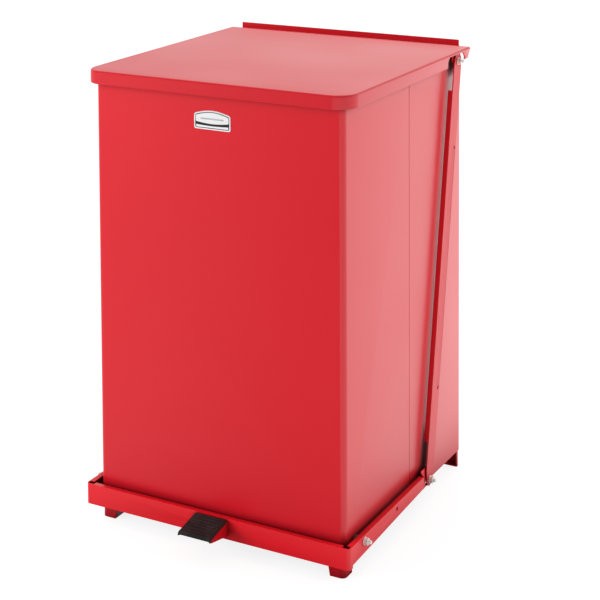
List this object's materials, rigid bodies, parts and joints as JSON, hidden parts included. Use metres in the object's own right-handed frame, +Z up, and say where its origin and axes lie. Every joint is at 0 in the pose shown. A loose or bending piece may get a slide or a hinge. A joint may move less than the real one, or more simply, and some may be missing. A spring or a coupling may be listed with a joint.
{
  "type": "oily waste can",
  "caption": "Square red steel step-on waste can with a self-closing hinged lid, side lift links, a treadle frame with foot pedal, and a lift-out metal liner.",
  "frame": {"origin": "on the floor, at the middle of the whole footprint, pedal tip to hinge back", "axes": "+X to the can's right as seen by its user, -Y towards the user and the pedal, +Z up"},
  "size_m": [0.3996, 0.4326, 0.598],
  "materials": {
    "red_paint": "gloss powder coat",
    "galvanised": "satin zinc",
    "plated": "bright zinc plate",
    "rubber": "matte",
    "nylon": "black",
    "plate_black": "printed satin"
  },
  "bodies": {
    "can": {"front_shell": "red_paint", "rear_shell": "red_paint", "seam_straps": "red_paint", "rim_frame": "red_paint", "bottom_pan": "red_paint", "corner_feet": "red_paint", "nameplate": "plate_black", "lid_bumpers": "rubber", "hinge_rail": "red_paint", "hinge_rivets": "plated", "hinge_leaf_fixed": "red_paint", "hinge_pin": "plated", "pivot_bolts": "plated", "pivot_spacers": "nylon", "pivot_washers": "plated", "pivot_nuts": "plated", "liner_shell": "galvanised", "handle_ears_right": "galvanised", "handle_ears_left": "galvanised"},
    "lid": {"lid_panel": "red_paint", "lid_stiffener": "red_paint", "hinge_leaf_lid": "red_paint", "lid_bracket_right": "red_paint", "lid_bracket_left": "red_paint"},
    "treadle": {"treadle_frame": "red_paint", "pedal_bracket": "red_paint", "pedal_rivets": "plated", "pedal_pad": "rubber"},
    "link_right": {"link_strip_right": "red_paint", "link_bolts_right": "plated", "link_washers_right": "plated", "link_nuts_right": "plated"},
    "link_left": {"link_strip_left": "red_paint", "link_bolts_left": "plated", "link_washers_left": "plated", "link_nuts_left": "plated"},
    "handle_right": {"liner_handle_right": "plated"},
    "handle_left": {"liner_handle_left": "plated"}
  },
  "joints": [
    {"name": "lid_hinge", "type": "hinge", "parent": "can", "child": "lid", "pos_m": [0, 0.21363, 0.589], "axis": [-1, 0, 0], "range_deg": [0, 60]},
    {"name": "treadle_pivot", "type": "hinge", "parent": "can", "child": "treadle", "pos_m": [0, -0.13232, 0.04], "axis": [1, 0, 0], "range_deg": [0, 13.2]},
    {"name": "link_right_pivot", "type": "hinge", "parent": "lid", "child": "link_right", "pos_m": [0.18625, 0.17117, 0.576], "axis": [1, 0, 0], "range_deg": [0, 58.6]},
    {"name": "link_left_pivot", "type": "hinge", "parent": "lid", "child": "link_left", "pos_m": [-0.18625, 0.17117, 0.576], "axis": [1, 0, 0], "range_deg": [0, 58.6]},
    {"name": "liner_handle_right_swing", "type": "hinge", "parent": "can", "child": "handle_right", "pos_m": [0.156, 0.02268, 0.52], "axis": [0, 1, 0], "range_deg": [0, 110]},
    {"name": "liner_handle_left_swing", "type": "hinge", "parent": "can", "child": "handle_left", "pos_m": [-0.156, 0.02268, 0.52], "axis": [0, -1, 0], "range_deg": [0, 110]}
  ],
  "couplings": [
    {"joint": "treadle_pivot", "follows": "lid_hinge", "ratio": 0.2195},
    {"joint": "link_right_pivot", "follows": "lid_hinge", "ratio": 0.976},
    {"joint": "link_left_pivot", "follows": "lid_hinge", "ratio": 0.976}
  ]
}
